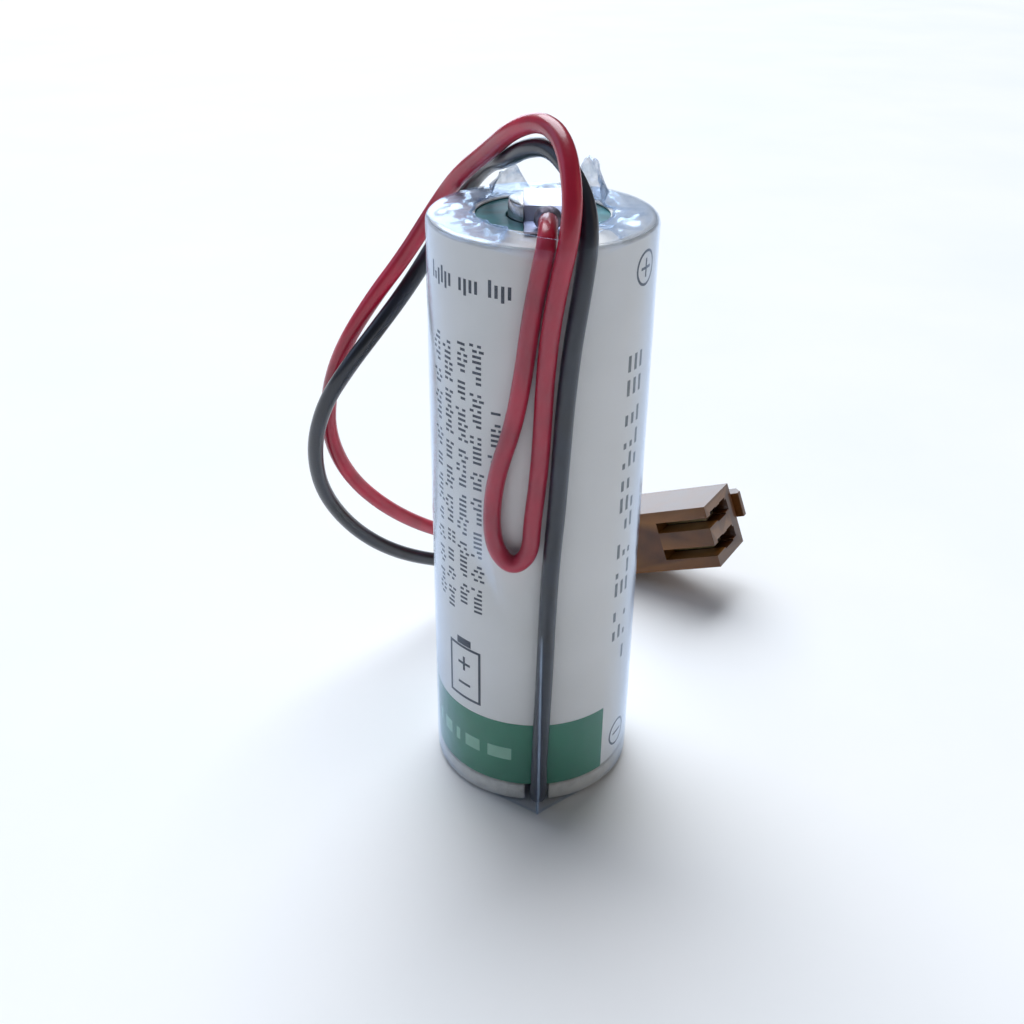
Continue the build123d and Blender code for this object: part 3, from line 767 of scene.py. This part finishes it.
def makeFilm():
    angles, levels, radii = filmShape()
    rows, haze = [], []
    wave = [Vector((math.cos(a), math.sin(a), 0)) for a in angles]
    # under the base: from the folded edge out to the side
    for share in np.linspace(0, 1, 8)[:-1]:
        rows.append([
            (film["foldRadius"] + (radii[0][k] - film["tuck"] - film["foldRadius"]) * share, film["lowFace"])
            for k in range(len(angles))
        ])
        haze.append(film["baseMilk"])
    for z, level in zip(levels, radii):
        tuck = film["tuck"] * max(0.0, 1 - z / film["tuckHeight"]) ** 2
        row = []
        for k in range(len(angles)):
            ripple = film["ripple"] * noise.noise(wave[k] * 9 + Vector((0, 0, z * 0.35))) if z > 1 else 0
            bulge = min(1.0, (level[k] - film["cellRadius"]) / 0.3)
            row.append((level[k] - tuck + max(0, ripple) * (1 - bulge), max(z, film["lowFace"])))
        rows.append(row)
        haze.append(film["sideMilk"])
    # shoulder, fold and torn edge at the top
    rim = radii[-1]
    tented = np.clip((rim - film["cellRadius"]) / 0.5, 0, 1)
    tented = tented * tented * (3 - 2 * tented)
    bend = film["shoulder"]
    for share in np.linspace(0.2, 1, 5):
        a = share * math.pi / 2
        row = []
        for k in range(len(angles)):
            folded = (rim[k] - bend * (1 - math.cos(a)), film["foldLevel"] - bend + bend * math.sin(a))
            upright = (rim[k] - 0.05 * share, film["foldLevel"] - bend + (bend + film["rimLift"]) * share)
            t = tented[k]
            row.append((folded[0] + (upright[0] - folded[0]) * t, folded[1] + (upright[1] - folded[1]) * t))
        rows.append(row)
        haze.append(film["shoulderMilkAndPaintedSheen"])
    start = rows[-1]
    for share in np.linspace(0, 1, film["foldRows"] + 1)[1:]:
        row = []
        for k in range(len(angles)):
            mouth = film["mouthRadius"] + film["mouthWander"] * noise.noise(wave[k] * 5 + Vector((9, 0, 0)))
            reach = start[k][0] + (mouth - start[k][0]) * share
            broad = noise.noise(wave[k] * 2.3 + Vector((3, 1, share * 1.6)))
            gather = noise.noise(Vector((angles[k] * 5.5, 7, share * 0.8)))
            pucker = film["pucker"] * max(0.0, broad) * math.sin(math.pi * min(1, share * 1.15))
            pucker += film["gather"] * max(0.0, gather) * share
            folded = (reach, film["foldLevel"] + pucker)
            ragged = 0.8 + 0.35 * noise.noise(wave[k] * 6 + Vector((0, 5, 0)))
            upright = (start[k][0] - 0.5 * share ** 2, start[k][1] + film["lip"] * ragged * share)
            t = tented[k]
            row.append((folded[0] + (upright[0] - folded[0]) * t, folded[1] + (upright[1] - folded[1]) * t))
        rows.append(row)
        haze.append(film["foldMilkAndPaintedSheen"][0] + film["foldMilkAndPaintedSheen"][1] * share)
    start = rows[-1]
    for step in range(1, film["tailRows"] + 1):
        share = step / film["tailRows"]
        row = []
        for k in range(len(angles)):
            degrees = math.degrees(angles[k])
            tall = 0.12 + 0.06 * noise.noise(wave[k] * 8)
            for middle, width, height in film["tails"]:
                ragged = 1 + 0.3 * noise.noise(wave[k] * 9 + Vector((middle, 0, 0)))
                tall += height * ragged * bumpShape(degrees - middle, width) ** 0.5
            lean = 0.7 * noise.noise(wave[k] * 8 + Vector((0, 0, share * 3.5))) * min(1, tall)
            t = tented[k]
            row.append((
                start[k][0] + ((0.5 * math.sin(share * 2.5) * min(1, tall) + lean * share) * (1 - t)),
                start[k][1] + tall * share * (1 - 0.9 * t),
            ))
        rows.append(row)
        haze.append(film["tornMilk"][0] + film["tornMilk"][1] * share)
    count = len(angles)
    vertices = [
        (r * math.cos(a), r * math.sin(a), z) for row in rows for a, (r, z) in zip(angles, row)
    ]
    faces = []
    for j in range(len(rows) - 1):
        for k in range(count):
            n = (k + 1) % count
            faces.append((j * count + k, j * count + n, (j + 1) * count + n, (j + 1) * count + k))
    piece = newPiece("clearSleeve", vertices, faces)
    # this attribute carries the milk of folded and torn film, a painted highlight along the crease and a
    # painted sky sheen on the top fold
    milkAndHighlight = piece.data.attributes.new("milkAndHighlight", "FLOAT", "POINT")
    milkAndHighlightShare = np.repeat(np.array(haze, np.float32)[:, None], count, axis=1)
    points = np.array(vertices).reshape(len(rows), count, 3)
    fromFront = np.degrees(angles) + 90
    middle, halfWidth = film["clearOverLeads"]
    milkAndHighlightShare *= np.clip(np.abs(fromFront - middle) / halfWidth, 0.1, 1) ** 2
    # painted highlight: the crease near the base gets a bright milky line that fades upwards
    onCrease = np.abs(fromFront - film["creaseTurn"]) < film["creaseTurn"] / 6
    below = np.clip(1 - points[:, onCrease, 2] / film["creaseHeight"], 0, 1)
    milkAndHighlightShare[:, onCrease] += film["creasePaintedHighlight"] * below ** 0.3
    milkAndHighlight.data.foreach_set("value", milkAndHighlightShare.ravel())
    smooth(piece, 180)
    wall = piece.modifiers.new("film wall", "SOLIDIFY")
    wall.thickness = film["wall"] * mm
    wall.offset = 0
    return mount(piece, clearFilm(), "sleeve_clear", "clear_sleeve")


def clearFilm():
    # shrunk clear PVC: see-through, mirrors at a slant, milky where it is folded or torn; the bright line
    # along the crease is a painted highlight, and the blue tint and part of the milk on the top fold are
    # painted sky reflection
    material, tree, shader = newMaterial("clearPvcFilm", {"Base Color": linear("#bfdafc")})
    coords = addNode(tree, "ShaderNodeTexCoord").outputs["Object"]
    waves = addNode(
        tree, "ShaderNodeTexNoise", {"Vector": coords, "Scale": perMetre(2.2), "Detail": 2.0}
    ).outputs["Fac"]
    bump = addNode(tree, "ShaderNodeBump", {"Height": waves, "Strength": 1.0, "Distance": 0.06 * mm})
    tree.links.new(bump.outputs[0], shader.inputs["Normal"])
    milkAndHighlight = addNode(tree, "ShaderNodeAttribute", attribute_name="milkAndHighlight").outputs["Fac"]
    specks = addNode(
        tree, "ShaderNodeTexNoise", {"Vector": coords, "Scale": perMetre(0.7), "Detail": 4.0}
    ).outputs["Fac"]
    uneven = addNode(tree, "ShaderNodeMath", {0: milkAndHighlight, 1: specks}, operation="MULTIPLY").outputs[0]
    slant = addNode(
        tree, "ShaderNodeLayerWeight", {"Blend": 0.5, "Normal": bump.outputs[0]}
    ).outputs["Facing"]
    steep = addNode(tree, "ShaderNodeMath", {0: slant, 1: film["mirrorPower"]}, operation="POWER").outputs[0]
    mirror = addNode(tree, "ShaderNodeMapRange", {
        "Value": steep, "To Min": film["mirrorHeadOn"], "To Max": film["mirrorAtSlant"],
    }).outputs[0]
    seen = addNode(tree, "ShaderNodeMath", {0: uneven, 1: mirror}, operation="ADD", use_clamp=True).outputs[0]
    tree.links.new(seen, shader.inputs["Alpha"])
    metal = addNode(tree, "ShaderNodeMapRange", {
        "Value": uneven, "From Min": 0.0, "From Max": 0.3, "To Min": 0.95, "To Max": 0.3,
    }).outputs[0]
    tree.links.new(metal, shader.inputs["Metallic"])
    rough = addNode(tree, "ShaderNodeMapRange", {"Value": specks, "To Min": 0.05, "To Max": 0.2}).outputs[0]
    tree.links.new(rough, shader.inputs["Roughness"])
    return material


makeFilm()
print("clear sleeve done")


# connector
housing = softenedCopy("connectorHousing", "connector_housing", 0.12)
mount(housing, brownNylon, "plug_brown", "connector_housing")
latch = softenedCopy("latchArm", "latch_arm", 0.1)
mount(latch, brownNylon, "plug_brown", "latch_arm", body="latch")
for name, node in (("contactUpper", "contact_upper"), ("contactLower", "contact_lower")):
    mount(softenedCopy(name, node, 0.05, 2), tinnedBrass, "contact_brass", node)
print("connector done")


# leads: their insulation, fixed to the cell
mount(redLead, redPvc, "wire_red", "red_lead")
mount(blackLead, blackPvc, "wire_black", "black_lead")

# what stays as the frame made it, inside the can
inside = {
    "can": nickelPlatedSteel, "lid": stampedStainless, "glass_seal": sealGlass,
    "terminal_pin": stampedStainless, "fill_ball": stampedStainless, "header_insulator": insulatingBoard,
    "bottom_insulator": glassFleece, "anode": lithiumFoil, "separator_tube": glassFleece,
    "cathode": carbonBlack, "current_collector": nickelMesh, "top_insulator": glassFleece,
}
for node, material in inside.items():
    cadNodes[node].data.materials.clear()
    cadNodes[node].data.materials.append(material)
print("inner pieces finished")


# floor, light and camera
studio = {
    "floor": "#f4f4f4", "floorShade": "#eef0f1", "floorReach": 1500,
    # the air lights the object less than it shows, so that the ground behind it is as pale as the floor
    "air": "#f3f6fa", "airStrength": 0.14, "seenStrength": 0.95, "aimHeight": 0.025,
    # the large soft light over and behind the object
    "skyPlace": (-0.35, 1.7, 2.4), "skySpread": 54, "skyStrength": 3.7, "skyColour": "#f3f8ff",
    "lights": [
        ("leftWindow", (-0.55, 0.1, 0.3), 0.4, 0.45, "#bcd4ff"),
        ("rightWarm", (0.5, -0.1, 0.2), 0.4, 0.15, "#ffe0bd"),
        ("farWindow", (-0.31, 1.8, 0.3), 0.8, 6.5, "#dceeff"),
    ],
}
camera = {
    "place": (-2.04, -89.204, 75.256), "elevation": 29.686, "roll": 0.0105, "lens": 42.84, "sensor": 36.0,
    "nearest": 0.005,
}


def makeFloor():
    reach = studio["floorReach"]
    corners = [(-reach, -reach, 0), (reach, -reach, 0), (reach, reach, 0), (-reach, reach, 0)]
    floor = newPiece("floor", corners, [(0, 1, 2, 3)])
    # matt painted board
    board = plain(
        "paleBoard", {"Metallic": 0.0}, studio["floorShade"], studio["floor"], 40, (0.7, 0.85), 2, 0.01
    )
    floor.data.materials.append(board)


def placeLight(data, place, colour):
    data.color = linear(colour)[:3]
    light = bpy.data.objects.new(data.name, data)
    light.location = place
    aim = Vector((0, 0, studio["aimHeight"])) - Vector(place)
    light.rotation_euler = aim.to_track_quat("-Z", "Y").to_euler()
    light.visible_camera = False
    bpy.context.scene.collection.objects.link(light)


def makeLights():
    sky = bpy.data.lights.new("sky", "SUN")
    sky.angle = math.radians(studio["skySpread"])
    sky.energy = studio["skyStrength"]
    placeLight(sky, studio["skyPlace"], studio["skyColour"])
    for name, place, size, power, colour in studio["lights"]:
        window = bpy.data.lights.new(name, "AREA")
        window.size = size
        window.energy = power
        placeLight(window, place, colour)
    world = bpy.data.worlds.new("studioAir")
    world.use_nodes = True
    world.node_tree.nodes.clear()
    tree = world.node_tree
    air = linear(studio["air"])
    dim = addNode(tree, "ShaderNodeBackground", {"Color": air, "Strength": studio["airStrength"]})
    pale = addNode(tree, "ShaderNodeBackground", {"Color": air, "Strength": studio["seenStrength"]})
    seen = addNode(tree, "ShaderNodeLightPath").outputs["Is Camera Ray"]
    both = addNode(tree, "ShaderNodeMixShader", {0: seen, 1: dim.outputs[0], 2: pale.outputs[0]})
    addNode(tree, "ShaderNodeOutputWorld", {"Surface": both.outputs[0]})
    bpy.context.scene.world = world


def makeCamera():
    data = bpy.data.cameras.new("camera")
    data.lens = camera["lens"]
    data.sensor_width = camera["sensor"]
    data.clip_start = camera["nearest"]
    eye = bpy.data.objects.new("camera", data)
    elevation, roll = math.radians(camera["elevation"]), camera["roll"]
    back = Vector((0, -math.cos(elevation), math.sin(elevation)))
    right = Vector((1, 0, 0))
    up = back.cross(right)
    rolledRight = right * math.cos(roll) + up * math.sin(roll)
    rolledUp = up * math.cos(roll) - right * math.sin(roll)
    turn = Matrix((rolledRight, rolledUp, back)).transposed().to_4x4()
    eye.matrix_world = Matrix.Translation(Vector(camera["place"]) * mm) @ turn
    bpy.context.scene.collection.objects.link(eye)
    bpy.context.scene.camera = eye


makeFloor()
makeLights()
makeCamera()
bpy.context.scene.view_settings.view_transform = "Standard"
print("studio ready")
